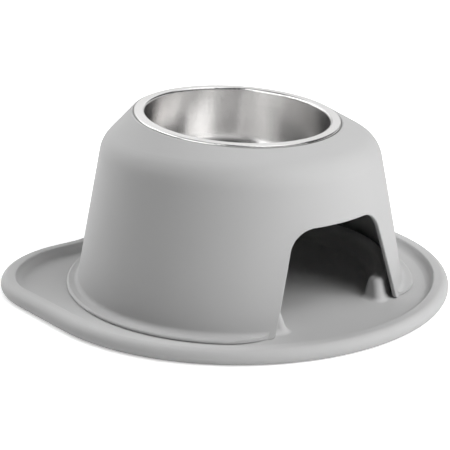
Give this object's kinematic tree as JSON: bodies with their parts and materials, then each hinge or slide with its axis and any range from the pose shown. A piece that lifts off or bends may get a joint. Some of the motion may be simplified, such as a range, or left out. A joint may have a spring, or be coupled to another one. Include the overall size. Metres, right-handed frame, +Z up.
{
  "type": "raised pet bowl",
  "caption": "Steel pet bowl seated with a slight forward tilt in a hollow conical stand with an arched front, standing on a D-shaped rimmed mat.",
  "frame": {"origin": "point on the mat's underside below the stand, where the stand's upright axis meets the ground", "axes": "+Z up along the stand's axis; -Y towards the arch and the low side of the bowl; +X to the right seen from the arch"},
  "size_m": [0.365, 0.3426, 0.1531],
  "materials": {
    "bowl_steel": "fine brushed stainless steel",
    "stand_plastic": "matte light grey moulded plastic",
    "mat_rubber": "matte light grey rubber-like plastic"
  },
  "bodies": {
    "root": {"bowl": "bowl_steel", "stand": "stand_plastic", "mat": "mat_rubber"}
  },
  "joints": []
}
